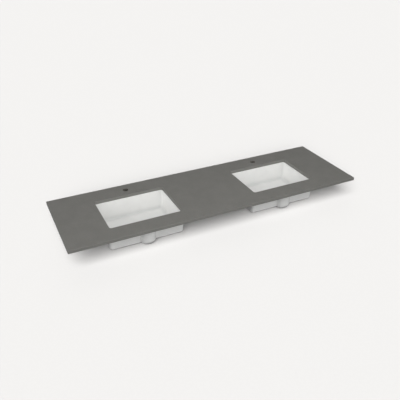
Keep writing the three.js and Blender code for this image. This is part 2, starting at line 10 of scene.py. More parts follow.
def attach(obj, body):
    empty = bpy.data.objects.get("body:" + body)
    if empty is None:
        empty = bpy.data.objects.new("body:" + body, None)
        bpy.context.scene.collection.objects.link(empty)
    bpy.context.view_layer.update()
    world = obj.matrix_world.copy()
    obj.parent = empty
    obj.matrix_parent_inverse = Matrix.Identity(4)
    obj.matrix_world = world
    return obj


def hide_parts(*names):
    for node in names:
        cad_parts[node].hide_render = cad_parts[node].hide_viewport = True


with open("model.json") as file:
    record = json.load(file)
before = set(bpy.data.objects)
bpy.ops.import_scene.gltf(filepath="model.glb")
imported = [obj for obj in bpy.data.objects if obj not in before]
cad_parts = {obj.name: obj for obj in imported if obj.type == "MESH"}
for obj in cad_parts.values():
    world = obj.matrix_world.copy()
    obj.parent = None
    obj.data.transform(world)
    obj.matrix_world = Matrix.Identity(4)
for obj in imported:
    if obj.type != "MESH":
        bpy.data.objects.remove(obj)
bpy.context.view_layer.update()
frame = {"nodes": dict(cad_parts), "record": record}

# A honed stone vanity top with two undermount china basins, dressed over its CAD frame.
# Shapes are worked out in millimetres with +Z up, and turned to metres when a mesh is made.

MM = 0.001
LEVEL_FACE = 0.99999
FULL_WEIGHT = 100

# Slab
SLAB_LENGTH = 1854.2
SLAB_DEPTH = 558.8
SLAB_THICKNESS = 19.05
SLAB_CORNER_RADIUS = 2.0
EDGE_EASE = 1.5
CUTOUT_EASE = 0.8
BORE_EASE = 0.4
BASIN_SETBACK = 469.9
CUTOUT_WIDTH = 431.8
CUTOUT_DEPTH = 317.5
CUTOUT_CORNER_RADIUS = 12.7
BASIN_CENTRE_Y = -9.65
FAUCET_HOLE_RADIUS = 17.5
FAUCET_HOLE_Y = 210.4

# Silicone bead
BEAD_WIDTH = 22.0
BEAD_THICKNESS = 2.0
BEAD_BULGE = 0.8
BEAD_WANDER = 0.35
BEAD_WAVES = (17, 41)

# Basin
FLANGE_WIDTH = 36.0
FLANGE_THICKNESS = 12.0
FLANGE_EDGE_RADIUS = 3.0
LIP_RADIUS = 2.0
NECK_RADIUS = 8.0
BOWL_DEPTH = 119.0
BOWL_CORNER_RADIUS = 14.0
BOWL_FOOT_CORNER_RADIUS = 18.0
BOWL_DRAFT = 9.0
BOWL_FILLET_RADIUS = 16.0
WALL_THICKNESS = 10.0
OUTER_CORNER_RADIUS = 20.0
SIDE_DRAFT = 1.5
FRONT_DRAFT = 9.0
FOOT_FILLET_RADIUS = 10.0
FLOOR_THICKNESS = 6.0
FLOOR_FALL = 5.0
DRAIN_RADIUS = 22.5
DRAIN_SEAT_RADIUS = 32.0
DRAIN_SEAT_DEPTH = 3.0
BOSS_RADIUS = 40.0
BOSS_HEIGHT = 13.5
BOSS_CHAMFER = 1.5
BOSS_FILLET = 1.5
GLAZE_ROUND = 0.9
ON_FACE = 0.1
# Painted shade in the bowl: its spread from the foot and corners, its height over the floor, and its
# shares.
SHADE_SPREAD = 15.0
FLOOR_SHADE_HEIGHT = 22.0
CORNER_SHADE = 0.5
FLOOR_SHADE = 0.12

# Overflow channel and inlet
CHANNEL_HALF_WIDTH = 44.0
CHANNEL_STANDOUT = 37.5
CHANNEL_ROUND = 32.0
CHANNEL_WALL = 8.0
CHANNEL_FLANGE_MARGIN = 3.3
CHANNEL_FOOT_SHARE = 1.2
DUCT_HALF_WIDTH = 28.0
DUCT_DROP = 9.0
DUCT_FOOT_SHARE = 0.8
DUCT_WALL = 5.0
PASSAGE_SINK = 1.0
INLET_WIDTH = 40.0
INLET_HEIGHT = 10.0
INLET_DROP = 45.0
INLET_ROUND = 2.0

# Fixing points
CLIP_ALONG_SHARE = 0.6
CLIP_STANDOFF = 12.0
CLIP_TOE_REACH = 14.0
CLIP_HEEL_REACH = 22.0
CLIP_WIDTH = 22.0
CLIP_GAUGE = 2.5
CLIP_BEND_RADIUS = 3.5
CLIP_SLOT_TRAVEL = 8.0
CLIP_CORNER = 2.5
CLIP_EASE = 0.35
CLIP_EASE_ANGLE = 50
STUD_RADIUS = 3.0
STUD_GRIP = 10.0
STUD_TAIL = 4.0
STUD_CHAMFER = 0.8
THREAD_PITCH = 1.0
THREAD_DEPTH = 0.54
THREAD_FLAT = 0.125
INSERT_RADIUS = 4.75
INSERT_LENGTH = 12.0
INSERT_EASE = 0.4
WASHER_RADIUS = 8.0
WASHER_THICKNESS = 1.6
WASHER_EASE = 0.3
NUT_RADIUS = 6.5
NUT_TOP_RADIUS = 5.0
NUT_HEIGHT = 7.0
NUT_EASE = 0.5
WING_REACH = 15.0
WING_DROP = 11.0
WING_TIP_RADIUS = 3.5
WING_THICKNESS = 2.5
WING_EASE = 0.9
WING_TAPER = 0.3
CLEARANCE = 0.3

# Levels
FLANGE_TOP = -BEAD_THICKNESS
FLANGE_BOTTOM = FLANGE_TOP - FLANGE_THICKNESS
BOWL_FLOOR = FLANGE_TOP - BOWL_DEPTH
FLOOR_UNDER = BOWL_FLOOR - FLOOR_THICKNESS
DRAIN_RIM = BOWL_FLOOR - FLOOR_FALL
DRAIN_SEAT = DRAIN_RIM - DRAIN_SEAT_DEPTH
BOSS_TOP = FLOOR_UNDER - FLOOR_FALL
BOSS_FACE = BOSS_TOP - BOSS_HEIGHT
CLIP_UNDER = FLANGE_BOTTOM - CLIP_GAUGE
WASHER_UNDER = CLIP_UNDER - WASHER_THICKNESS

# The bowl's leaning wall, from the foot of its lip to where its foot fillet starts
LIP_FOOT = FLANGE_TOP - LIP_RADIUS
WALL_LEAN = math.atan2(BOWL_DRAFT, LIP_FOOT - BOWL_FLOOR - BOWL_FILLET_RADIUS)
WALL_INSET = BOWL_DRAFT + BOWL_FILLET_RADIUS * (1 - math.cos(WALL_LEAN))
WALL_FOOT = BOWL_FLOOR + BOWL_FILLET_RADIUS * (1 - math.sin(WALL_LEAN))

SIDES = {"left": BASIN_SETBACK - SLAB_LENGTH / 2, "right": SLAB_LENGTH / 2 - BASIN_SETBACK}

# Pattern sizes
GRIT_SIZE = 2.2
FINES_SIZE = 0.9
STONE_CLOUD_SIZE = 70
GLAZE_CLOUD_SIZE = 60
GLAZE_RIPPLE_SIZE = 9
CLAY_GROG_SIZE = 1.5
METAL_CLOUD_SIZE = 4
SEALANT_CLOUD_SIZE = 6
PAPER_FIBRE_SIZE = 12

# Stage, with the camera fitted to the photo
FLOOR_REACH = 40000.0
CAMERA_FRAME = 36.0
CAMERA_LENS = 44.558
CAMERA_PLACE = (-1213.578, -2405.368, 1494.354)
CAMERA_PITCH = 29.978
CAMERA_YAW = 25.872
CAMERA_ROLL = -0.04


# Meshes

def new_object(name, data):
    """A new object in the scene."""
    made = bpy.data.objects.new(name, data)
    bpy.context.scene.collection.objects.link(made)
    return made


def make_piece(name, shape, slot, nodes, marks=None, sheet=False):
    """A mesh from a shape's points in millimetres and its lists of faces, riding on the root body in place
    of CAD nodes. Level faces are left flat, and all others are smooth. Each mark is a named share at every
    point. A sheet is thickened about its middle surface, and its edges are eased."""
    points, faces = shape
    mesh = bpy.data.meshes.new(name)
    mesh.from_pydata((np.asarray(points, dtype=float) * MM).tolist(), [], faces)
    mesh.validate()
    normals = np.empty(len(mesh.polygons) * 3)
    mesh.polygons.foreach_get("normal", normals)
    mesh.polygons.foreach_set("use_smooth", np.abs(normals[2::3]) < LEVEL_FACE)
    for mark, shares in (marks or {}).items():
        shares = np.asarray(shares, dtype=np.float32)
        mesh.attributes.new(mark, "FLOAT", "POINT").data.foreach_set("value", shares)
    mesh.materials.append(FINISHES[slot])
    piece = new_object(name, mesh)
    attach(piece, "root")
    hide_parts(*nodes)
    if sheet:
        thick = piece.modifiers.new("sheet", "SOLIDIFY")
        thick.thickness = CLIP_GAUGE * MM
        thick.offset = 0.0
        ease = piece.modifiers.new("ease", "BEVEL")
        ease.width = CLIP_EASE * MM
        ease.segments = 2
        ease.limit_method = "ANGLE"
        ease.angle_limit = math.radians(CLIP_EASE_ANGLE)
    piece.modifiers.new("weigh_normals", "WEIGHTED_NORMAL").weight = FULL_WEIGHT
    return piece


def grid_faces(rows, columns, wrap_rows=False, wrap_columns=True, start=0):
    """Quads between neighbours of a rows by columns grid of points, wrapping round either way."""
    row = np.arange(rows if wrap_rows else rows - 1)
    column = np.arange(columns if wrap_columns else columns - 1)
    r, c = np.meshgrid(row, column, indexing="ij")
    r, c = r.ravel(), c.ravel()
    below, right = (r + 1) % rows, (c + 1) % columns
    corners = [r * columns + c, r * columns + right, below * columns + right, below * columns + c]
    return (np.stack(corners, axis=1) + start).tolist()


def quarter(steps):
    """The angles of a quarter turn, evenly apart."""
    return np.linspace(0, math.pi / 2, steps + 1)


def quarter_round(radius, steps):
    """Two runs that trace a quarter circle: one falls from the radius to nothing, as r(1 - sin a), while
    the other grows to it, as r(1 - cos a)."""
    angle = quarter(steps)
    return radius * (1 - np.sin(angle)), radius * (1 - np.cos(angle))


def inner_shares(steps):
    """The shares between 0 and 1 that divide a run into equal steps."""
    return np.linspace(0, 1, steps + 1)[1:-1]


def between(start, end, steps):
    """The points that divide a straight run into equal steps, without its two ends."""
    share = np.arange(1, steps)[:, None] / steps
    return start * (1 - share) + end * share


def spaced(path, steps):
    """The path's points moved along it until they are evenly apart."""
    length = np.concatenate([[0], np.cumsum(np.hypot(*np.diff(path, axis=0).T))])
    even = np.linspace(0, length[-1], steps + 1)
    return np.stack([np.interp(even, length, path[:, k]) for k in range(2)], axis=1)


def rounded_rectangle(half_width, half_depth, radius, corner_steps):
    """Anticlockwise loop: a quarter circle of the radius about each of the four corner centres."""
    turns = (np.arange(4)[:, None] * math.pi / 2 - math.pi / 2 + quarter(corner_steps)).ravel()
    side_x = np.repeat([1, 1, -1, -1], corner_steps + 1)
    side_y = np.repeat([-1, 1, 1, -1], corner_steps + 1)
    x = side_x * (half_width - radius) + radius * np.cos(turns)
    y = side_y * (half_depth - radius) + radius * np.sin(turns)
    return np.stack([x, y], axis=1)


def circle(radius, steps):
    """Anticlockwise loop of a circle, radius times cosine and sine."""
    angle = np.arange(steps) * 2 * math.pi / steps
    return radius * np.stack([np.cos(angle), np.sin(angle)], axis=1)


def at_level(loop, level):
    """The plane loop as three-dimensional points at one level."""
    return np.column_stack([loop, np.full(len(loop), float(level))])


def eased_edge(low, high, radius, steps):
    """Insets and levels of a wall whose two edges are quarter rounds."""
    inset, rise = quarter_round(radius, steps)
    return list(zip(inset, low + rise)) + list(zip(inset[::-1], high - rise[::-1]))


def carved(shape, joined=(), cutters=()):
    """The closed shape, joined with some and cut by others, as points and faces in millimetres."""

    def solid(part):
        mesh = bpy.data.meshes.new("blank")
        mesh.from_pydata(np.asarray(part[0], dtype=float).tolist(), [], part[1])
        return new_object("blank", mesh)

    body = solid(shape)
    tools = []
    for operation, parts in (("UNION", joined), ("DIFFERENCE", cutters)):
        for part in parts:
            tools.append(solid(part))
            step = body.modifiers.new(operation, "BOOLEAN")
            step.operation = operation
            step.solver = "EXACT"
            step.object = tools[-1]
    result = bpy.data.meshes.new_from_object(body.evaluated_get(bpy.context.evaluated_depsgraph_get()))
    points = np.empty(len(result.vertices) * 3)
    result.vertices.foreach_get("co", points)
    faces = [list(polygon.vertices) for polygon in result.polygons]
    for blank in (body, *tools):
        mesh = blank.data
        bpy.data.objects.remove(blank)
        bpy.data.meshes.remove(mesh)
    bpy.data.meshes.remove(result)
    return points.reshape(-1, 3), faces


def tube(rings):
    """Rings joined in order into a closed shape, with the first and last filled. Faces point outwards when
    each ring runs anticlockwise about the direction in which they follow each other."""
    rings = np.array(rings)
    count, size = rings.shape[:2]
    ends = [list(range(size))[::-1], list(range((count - 1) * size, count * size))]
    return rings.reshape(-1, 3), grid_faces(count, size) + ends


def looped(rings):
    """Rings joined in order into a closed shape, and the last to the first."""
    rings = np.array(rings)
    return rings.reshape(-1, 3), grid_faces(*rings.shape[:2], wrap_rows=True)


def turned(profile, steps):
    """A closed profile of radii and levels carried round the upright axis: x = r cos a, y = r sin a."""
    return looped([at_level(circle(radius, steps), level) for radius, level in profile])


# The slab

def slab_shape():
    """The slab: each edge is an eased profile carried round its outline, and the two flat faces are filled
    between them. With it comes a mark of painted shade for each point, 1 on the walls of drilled holes and
    0 elsewhere."""
    edge_steps, bore_edge_steps = 4, 2
    outline_steps, corner_steps, hole_steps, bore_steps = 4, 12, 64, 24
    points, faces, top, bottom, painted_bore_shade = [], [], [], [], []
    count = 0

    def wall(loop_at, profile, hole=True, bored=False):
        """Stacks the loop at the profile's insets and levels. A hole's wall faces inwards."""
        nonlocal count
        rings = [at_level(loop_at(inset), level) for inset, level in profile]
        size = len(rings[0])
        quads = np.array(grid_faces(len(rings), size, start=count))
        faces.extend((quads[:, ::-1] if hole else quads).tolist())
        points.extend(rings)
        painted_bore_shade.append(np.full(size * len(rings), float(bored)))
        bottom.append(np.arange(count, count + size))
        count += size * len(rings)
        return np.arange(count - size, count)

    edge = eased_edge(0.0, SLAB_THICKNESS, EDGE_EASE, edge_steps)
    cutout_edge = eased_edge(0.0, SLAB_THICKNESS, CUTOUT_EASE, edge_steps)
    bore_edge = eased_edge(0.0, SLAB_THICKNESS, BORE_EASE, bore_edge_steps)

    def outline(inset):
        return rounded_rectangle(
            SLAB_LENGTH / 2 - inset, SLAB_DEPTH / 2 - inset, SLAB_CORNER_RADIUS - inset, outline_steps
        )

    top.append(wall(outline, edge, hole=False))
    for x in SIDES.values():
        middle = np.array([x, BASIN_CENTRE_Y])

        def cutout(inset):
            half_width, half_depth = CUTOUT_WIDTH / 2 + inset, CUTOUT_DEPTH / 2 + inset
            radius = CUTOUT_CORNER_RADIUS + inset
            return middle + rounded_rectangle(half_width, half_depth, radius, corner_steps)

        def faucet_hole(inset):
            return np.array([x, FAUCET_HOLE_Y]) + circle(FAUCET_HOLE_RADIUS + inset, hole_steps)

        for loop_at, profile, bored in ((cutout, cutout_edge, False), (faucet_hole, bore_edge, True)):
            top.append(wall(loop_at, profile, bored=bored))
        for place in fixing_places():
            def bore(inset):
                return middle + place[:2] + circle(INSERT_RADIUS + CLEARANCE - inset, bore_steps)

            end = wall(bore, [(0.0, 0.0), (0.0, INSERT_LENGTH + CLEARANCE)], bored=True)
            faces.append(end[::-1].tolist())
    points = np.concatenate(points)
    # The fill sweeps in y first, and corners in line along x would give it triangles without area. So it
    # is worked out a quarter turn round.
    swung = np.column_stack([-points[:, 1], points[:, 0], np.zeros(len(points))])
    for loops, way in ((top, 1), (bottom, -1)):
        filled = tessellate_polygon([[Vector(point) for point in swung[loop].tolist()] for loop in loops])
        triangles = np.concatenate(loops)[np.array(filled)]
        faces.extend(triangles[:, ::way].tolist())
    painted_bore_shade = np.concatenate(painted_bore_shade)
    # A tap hole's eased mouth is left out of the painted shade, like the slab's top.
    painted_bore_shade[points[:, 2] > SLAB_THICKNESS - BORE_EASE / 2] = 0
    return (points, faces), painted_bore_shade


def fixing_places():
    """Stud places about a basin's middle as x, y and the turn that faces the clip towards the basin."""
    along = CLIP_ALONG_SHARE * (CUTOUT_WIDTH / 2 + FLANGE_WIDTH)
    across = CUTOUT_DEPTH / 2 + FLANGE_WIDTH + CLIP_STANDOFF
    front = [(-along, -across, 0), (along, -across, 0)]
    back = [(along, across, math.pi), (-along, across, math.pi)]
    return np.array(front + back)


# The basins

CORNER_STEPS = 12
SIDE_STEPS = 8
BACK_STEPS = 14
FRONT_STEPS = 10
CHANNEL_STEPS = 40


def channel_form():
    """Across the channel as shares: a half ellipse between flat feet, its path averaged over a short length
    to ease the two feet, then divided evenly. Columns are the place across and the rise."""
    arc_points, fine_steps, window_points, feet_reach = 240, 1199, 91, 2.0
    angle = np.linspace(math.pi, 0, arc_points)
    feet = np.array([[-feet_reach, 0.0], [feet_reach, 0.0]])
    path = np.concatenate([feet[:1], np.stack([np.cos(angle), np.sin(angle)], axis=1), feet[1:]])
    path = spaced(path, fine_steps)
    window = np.hanning(window_points)
    window /= window.sum()
    path = np.stack([np.convolve(path[:, k], window, mode="valid") for k in range(2)], axis=1)
    path = spaced(path[np.abs(path[:, 0]) <= CHANNEL_FOOT_SHARE], CHANNEL_STEPS)
    path[[0, -1], 0] = (-CHANNEL_FOOT_SHARE, CHANNEL_FOOT_SHARE)
    path[[0, -1], 1] = 0
    return path


CHANNEL_FORM = channel_form()
# How many of a basin loop's points are off the channel, and the share of its lift that each point takes
PLAIN_POINTS = 4 * (CORNER_STEPS + 1) + 2 * (SIDE_STEPS + FRONT_STEPS) + BACK_STEPS - 4
LOOP_RISE = np.concatenate([np.zeros(PLAIN_POINTS), CHANNEL_FORM[:-1, 1]])


def basin_loop(half_width, half_depth, radius, channel_half_width):
    """Once round the basin, anticlockwise from the channel's right foot: straight runs divided evenly, and
    quarter circles at the corners. The channel's places come last, from its left foot on."""
    quarters = rounded_rectangle(half_width, half_depth, radius, CORNER_STEPS).reshape(4, -1, 2)
    foot = channel_half_width * CHANNEL_FOOT_SHARE
    right, left = np.array([foot, -half_depth]), np.array([-foot, -half_depth])
    parts = [right[None], between(right, quarters[0][0], FRONT_STEPS), quarters[0]]
    for corner, steps in enumerate((SIDE_STEPS, BACK_STEPS, SIDE_STEPS)):
        parts += [between(quarters[corner][-1], quarters[corner + 1][0], steps), quarters[corner + 1]]
    parts += [between(quarters[3][-1], left, FRONT_STEPS)]
    across = CHANNEL_FORM[:-1, 0] * channel_half_width
    parts += [np.stack([across, np.full(len(across), -half_depth)], axis=1)]
    return np.concatenate(parts)


def drain_circle():
    """The loop's points on a unit circle about the drain. The duct takes the front of it, by the arcsine of
    the place across, and the other points keep the bearing that they have on a loop inside the bowl,
    squeezed into the rest of the turn."""
    inset, corner = 25, 4.0
    across = CHANNEL_FORM[:-1, 0] * DUCT_HALF_WIDTH / BOSS_RADIUS
    inside = basin_loop(CUTOUT_WIDTH / 2 - inset, CUTOUT_DEPTH / 2 - inset, corner, CHANNEL_HALF_WIDTH)
    x, y = inside[:PLAIN_POINTS].T
    bearing = (np.arctan2(y, x) + math.pi / 2) % (2 * math.pi)
    foot = math.asin(CHANNEL_FOOT_SHARE * DUCT_HALF_WIDTH / BOSS_RADIUS)
    first, turn = bearing[0], 2 * math.pi - 2 * bearing[0]
    plain = foot + (bearing - first) / turn * (2 * math.pi - 2 * foot)
    angle = np.concatenate([plain, 2 * math.pi + np.arcsin(across)]) - math.pi / 2
    return np.stack([np.cos(angle), np.sin(angle)], axis=1)


DRAIN_UNIT = drain_circle()


def basin_ring(
    offset, corner, level, round_share=0, radius=0, half_width=CHANNEL_HALF_WIDTH, out=0, down=0, drawn_in=0
):
    """A loop offset from the bowl's mouth, drawn in at its front and back, blended towards a drain circle,
    with its channel lifted out and down."""
    plan = basin_loop(CUTOUT_WIDTH / 2 + offset, CUTOUT_DEPTH / 2 + offset - drawn_in, corner, half_width)
    plan = plan * (1 - round_share) + DRAIN_UNIT * radius * round_share
    return np.column_stack([plan[:, 0], plan[:, 1] - out * LOOP_RISE, level - down * LOOP_RISE])


def drain_ring(radius, level, down=0):
    """A ring that is a true circle about the drain."""
    return np.column_stack([DRAIN_UNIT * radius, level - down * LOOP_RISE])


def fillet_corner(corner, inset, fillet):
    """The corner radius of a fillet's ring shrinks with its inset to a tenth."""
    shrink = 0.9
    return corner * (1 - shrink * inset / fillet)


def standout_at(turn):
    """How far the channel's front lies beyond the foot's fillet, along the ray at this turn from the
    fillet's middle: to the circle of the channel's round, and past its lowest point to the duct's foot."""
    out = CHANNEL_STANDOUT + FOOT_FILLET_RADIUS - CHANNEL_ROUND
    down = DUCT_DROP + FOOT_FILLET_RADIUS - CHANNEL_ROUND
    along = out * math.cos(turn) + down * math.sin(turn)
    reach = along + math.sqrt(CHANNEL_ROUND**2 + along**2 - out**2 - down**2)
    if reach * math.cos(turn) < out:
        reach = (DUCT_DROP + FOOT_FILLET_RADIUS) / math.sin(turn)
    return reach - FOOT_FILLET_RADIUS


def channel_at(turn):
    """Half width, standout and wall thickness of the channel, as it turns from upright to level."""
    share = (1 - math.cos(2 * turn)) / 2
    half_width = CHANNEL_HALF_WIDTH * (1 - share) + DUCT_HALF_WIDTH * share
    return half_width, standout_at(turn), CHANNEL_WALL * (1 - share) + DUCT_WALL * share


def bowl_rings():
    """Inside of the basin: rounded lip, drafted wall, tangent fillet, floor falling to the drain seat."""
    lip_steps, wall_steps, fillet_steps, floor_steps, glaze_steps = 5, 9, 14, 13, 3
    rings = []
    for offset, fall in zip(*quarter_round(LIP_RADIUS, lip_steps)):
        rings.append(basin_ring(offset, BOWL_CORNER_RADIUS + offset, FLANGE_TOP - fall))
    for share in inner_shares(wall_steps):
        corner = BOWL_CORNER_RADIUS * (1 - share) + BOWL_FOOT_CORNER_RADIUS * share
        rings.append(basin_ring(-WALL_INSET * share, corner, LIP_FOOT + (WALL_FOOT - LIP_FOOT) * share))
    for angle in np.linspace(WALL_LEAN, math.pi / 2, fillet_steps + 1):
        inset = BOWL_FILLET_RADIUS * (1 - math.cos(angle))
        corner = fillet_corner(BOWL_FOOT_CORNER_RADIUS, inset, BOWL_FILLET_RADIUS)
        level = BOWL_FLOOR + BOWL_FILLET_RADIUS * (1 - math.sin(angle))
        rings.append(basin_ring(-BOWL_DRAFT - inset, corner, level))
    edge = -BOWL_DRAFT - BOWL_FILLET_RADIUS
    corner = fillet_corner(BOWL_FOOT_CORNER_RADIUS, BOWL_FILLET_RADIUS, BOWL_FILLET_RADIUS)
    rim = DRAIN_SEAT_RADIUS + GLAZE_ROUND
    for share in inner_shares(floor_steps):
        rings.append(basin_ring(edge, corner, BOWL_FLOOR - FLOOR_FALL * share, share, rim))
    falling, growing = quarter_round(GLAZE_ROUND, glaze_steps)
    rings += map(drain_ring, DRAIN_SEAT_RADIUS + falling, DRAIN_RIM - growing)
    rings += map(drain_ring, DRAIN_SEAT_RADIUS - growing, DRAIN_SEAT + falling)
    rings += map(drain_ring, DRAIN_RADIUS + falling, DRAIN_SEAT - growing)
    return rings


def shell_rings():
    """Outside of the basin: bore, boss, underside with its duct, foot fillet, wall, neck and flange."""
    glaze_steps, chamfer_steps, under_steps, fillet_steps = 3, 4, 13, 12
    round_steps, wall_steps, neck_steps, flange_steps = 6, 5, 7, 5
    falling, growing = quarter_round(GLAZE_ROUND, glaze_steps)
    rings = list(map(drain_ring, DRAIN_RADIUS + growing, BOSS_FACE + falling))
    falling, growing = quarter_round(BOSS_CHAMFER, chamfer_steps)
    rings += map(drain_ring, BOSS_RADIUS - falling, BOSS_FACE + growing)
    rings.append(drain_ring(BOSS_RADIUS, BOSS_TOP - BOSS_FILLET, DUCT_DROP * DUCT_FOOT_SHARE))
    rings.append(drain_ring(BOSS_RADIUS + BOSS_FILLET, BOSS_TOP, DUCT_DROP))
    foot = WALL_THICKNESS - SIDE_DRAFT
    front_lean = FRONT_DRAFT - SIDE_DRAFT
    offset = foot - FOOT_FILLET_RADIUS
    corner = fillet_corner(OUTER_CORNER_RADIUS, FOOT_FILLET_RADIUS, FOOT_FILLET_RADIUS)
    duct = {"half_width": DUCT_HALF_WIDTH, "down": DUCT_DROP, "drawn_in": front_lean}
    for share in inner_shares(under_steps):
        level = BOSS_TOP + FLOOR_FALL * share
        rings.append(basin_ring(offset, corner, level, 1 - share, BOSS_RADIUS, **duct))
    for turn in np.linspace(math.pi / 2, 0, fillet_steps + 1):
        inset = FOOT_FILLET_RADIUS * (1 - math.cos(turn))
        level = FLOOR_UNDER + FOOT_FILLET_RADIUS * (1 - math.sin(turn))
        corner = fillet_corner(OUTER_CORNER_RADIUS, inset, FOOT_FILLET_RADIUS)
        half_width, standout, _ = channel_at(turn)
        lift = {"out": standout * math.cos(turn), "down": standout * math.sin(turn), "drawn_in": front_lean}
        rings.append(basin_ring(foot - inset, corner, level, half_width=half_width, **lift))
    low = FLOOR_UNDER + FOOT_FILLET_RADIUS
    high = FLANGE_BOTTOM - NECK_RADIUS
    round_rise = CHANNEL_ROUND - DUCT_DROP - FOOT_FILLET_RADIUS
    round_levels = low + round_rise * np.linspace(0, 1, round_steps + 1)[1:]
    wall_levels = np.linspace(low + round_rise, high, wall_steps + 1)[1:-1]
    for level in np.concatenate([round_levels, wall_levels]):
        share = (level - low) / (high - low)
        short = max(0.0, round_rise - (level - low))
        offset = foot + SIDE_DRAFT * share
        out = CHANNEL_STANDOUT - CHANNEL_ROUND + math.sqrt(CHANNEL_ROUND**2 - short**2)
        drawn_in = front_lean * (1 - share)
        rings.append(basin_ring(offset, OUTER_CORNER_RADIUS, level, out=out, drawn_in=drawn_in))
    for drop, flare in zip(*quarter_round(NECK_RADIUS, neck_steps)):
        corner, out = OUTER_CORNER_RADIUS + flare, CHANNEL_STANDOUT - flare
        rings.append(basin_ring(WALL_THICKNESS + flare, corner, FLANGE_BOTTOM - drop, out=out))
    tab = WALL_THICKNESS + CHANNEL_STANDOUT + CHANNEL_FLANGE_MARGIN - FLANGE_WIDTH
    for inset, level in eased_edge(FLANGE_BOTTOM, FLANGE_TOP, FLANGE_EDGE_RADIUS, flange_steps):
        offset = FLANGE_WIDTH - inset
        rings.append(basin_ring(offset, BOWL_CORNER_RADIUS + offset, level, out=tab))
    return rings


def bowl_wall_inset(level):
    """How far the bowl's wall has leaned in from its mouth at a level, down to its foot fillet."""
    return WALL_INSET * np.clip((LIP_FOOT - level) / (LIP_FOOT - WALL_FOOT), 0, 1)


def passage_shape():
    """The overflow's hollow: a half ellipse on its chord, carried down inside the channel, round the foot's
    fillet and under the floor to the drain's bore."""
    arc_steps, turn_steps = 24, 8
    angle = np.linspace(0, math.pi, arc_steps + 1)
    wall_y = -(CUTOUT_DEPTH / 2 + WALL_THICKNESS)
    foot_y = wall_y + FRONT_DRAFT + FOOT_FILLET_RADIUS
    foot_z = FLOOR_UNDER + FOOT_FILLET_RADIUS
    path = [(wall_y, FLANGE_BOTTOM - CHANNEL_WALL, 0.0)]
    for turn in quarter(turn_steps):
        back, down = FOOT_FILLET_RADIUS * math.cos(turn), FOOT_FILLET_RADIUS * math.sin(turn)
        path.append((foot_y - back, foot_z - down, turn))
    path += [(-BOSS_RADIUS, BOSS_TOP, math.pi / 2), (0.0, BOSS_TOP, math.pi / 2)]
    rings = []
    for y, level, turn in path:
        half_width, standout, wall = channel_at(turn)
        reach = (PASSAGE_SINK + standout - wall) * np.sin(angle) - PASSAGE_SINK
        across = (half_width - CHANNEL_WALL) * np.cos(angle)
        rings.append(np.column_stack([across, y - math.cos(turn) * reach, level - math.sin(turn) * reach]))
    return tube(rings)


def inlet_shape():
    """The inlet's hollow: a slot with half-round ends through the front wall, its mouth flared on a quarter
    circle where the glaze has rounded it: grow = r - sqrt(r^2 - (r - depth)^2)."""
    end_points, flare_steps = 14, 5
    angle = np.linspace(-math.pi / 2, math.pi / 2, end_points)
    angle = np.concatenate([angle, angle + math.pi])
    side = np.repeat([1.0, -1.0], end_points)
    flare = quarter_round(INLET_ROUND, flare_steps)[1]
    depths = np.concatenate([[-INLET_ROUND], flare, [BOWL_DRAFT + WALL_THICKNESS + CHANNEL_WALL]])
    rings = []
    for depth in depths[::-1]:
        short = INLET_ROUND - np.clip(depth, 0, INLET_ROUND)
        radius = INLET_HEIGHT / 2 + INLET_ROUND - math.sqrt(INLET_ROUND**2 - short**2)
        across = side * (INLET_WIDTH - INLET_HEIGHT) / 2 + radius * np.cos(angle)
        level = FLANGE_TOP - INLET_DROP + radius * np.sin(angle)
        rings.append(np.column_stack([across, bowl_wall_inset(level) - CUTOUT_DEPTH / 2 - depth, level]))
    return tube(np.array(rings)[:, ::-1])


def basin_shape():
    """The basin as one closed surface: inside rings then outside rings, each joined to the next and last to
    first, with the overflow's hollows cut out of it."""
    return carved(looped(bowl_rings() + shell_rings()), cutters=(passage_shape(), inlet_shape()))


def basin_marks(points):
    """Where shade is painted on the glaze, and where there is no glaze. It is painted near the bowl's foot
    and corners, as exp(-(distance / spread)^2), and a little on the floor. The boss's face and flange's top
    are bare."""
    x, y, level = np.abs(points[:, 0]), np.abs(points[:, 1]), points[:, 2]
    lean = bowl_wall_inset(level)
    from_side = CUTOUT_WIDTH / 2 - lean - x
    from_front = CUTOUT_DEPTH / 2 - lean - y
    inside = np.minimum(from_side, from_front) > -LIP_RADIUS / 2
    height = level - BOWL_FLOOR
    near_foot = np.exp(-((np.maximum(height, np.minimum(from_side, from_front)) / SHADE_SPREAD) ** 2))
    near_corner = np.exp(-((np.maximum(from_side, from_front) / SHADE_SPREAD) ** 2))
    near_floor = np.exp(-((np.maximum(height, 0) / FLOOR_SHADE_HEIGHT) ** 2))
    # Painted shade: the glaze is darkened at the bowl's foot, in its corners and a little over its floor,
    # where shade falls.
    thin = (1 - near_foot) * (1 - near_corner * CORNER_SHADE) * (1 - near_floor * FLOOR_SHADE)
    shade_share = np.clip(1 - thin, 0, 1)
    on_flange = (level > FLANGE_TOP - ON_FACE) & (from_side < -LIP_RADIUS)
    bare = (level < BOSS_FACE + ON_FACE) | on_flange
    return {"painted_crease_shade": shade_share * inside, "bare_clay": bare.astype(float)}


# Sealant and fixings

